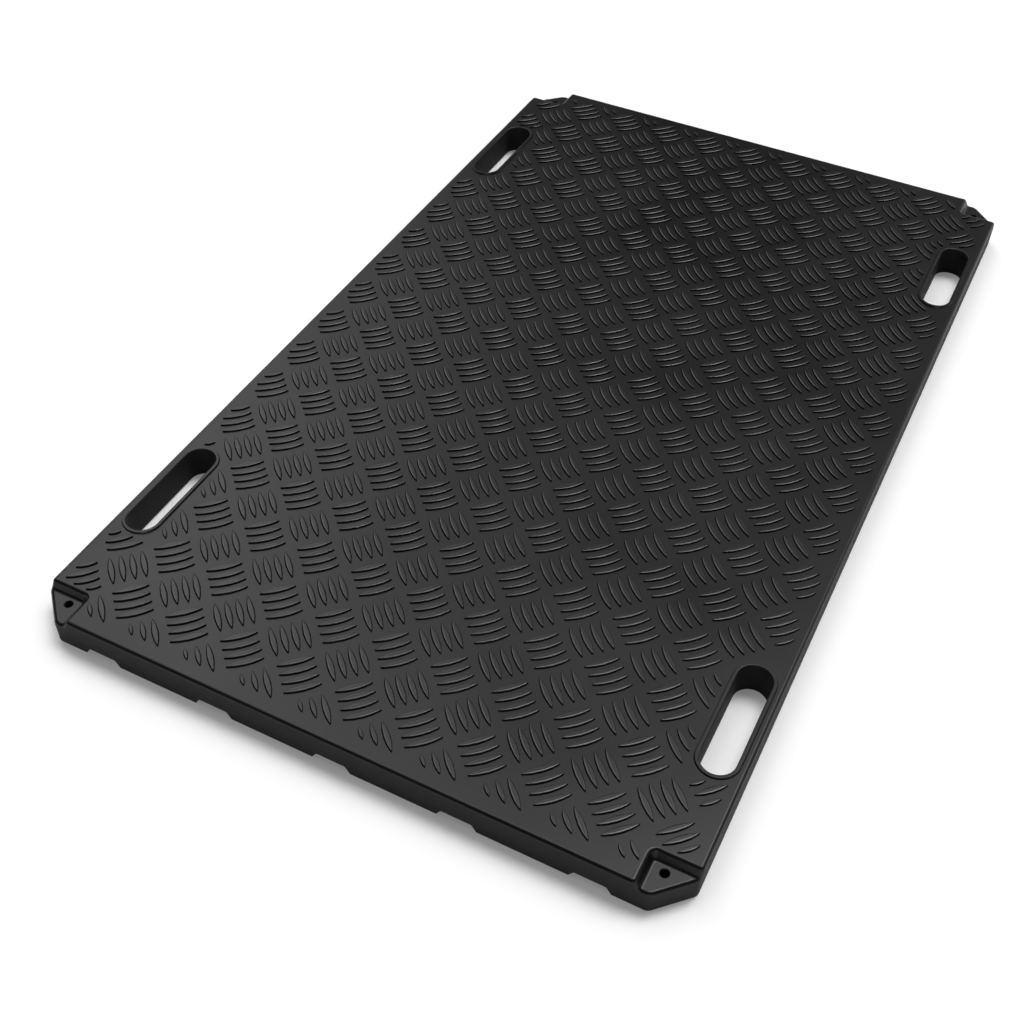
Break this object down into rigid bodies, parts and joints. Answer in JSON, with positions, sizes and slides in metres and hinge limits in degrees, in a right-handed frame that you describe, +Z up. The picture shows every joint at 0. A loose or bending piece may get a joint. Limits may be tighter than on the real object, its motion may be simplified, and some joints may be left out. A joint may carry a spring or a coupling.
{
  "type": "ground protection mat",
  "caption": "Thick rectangular plastic ground mat with clipped, stepped corners, slotted hand holes, a raised bar tread and drain channels underneath.",
  "frame": {"origin": "on the ground under the middle of the mat", "axes": "+X across the mat, +Y along its long side, +Z up out of the tread side"},
  "size_m": [0.72, 1.2, 0.04],
  "materials": {
    "mat_plastic": "matte black moulded recycled plastic"
  },
  "bodies": {
    "root": {"mat": "mat_plastic"}
  },
  "joints": []
}
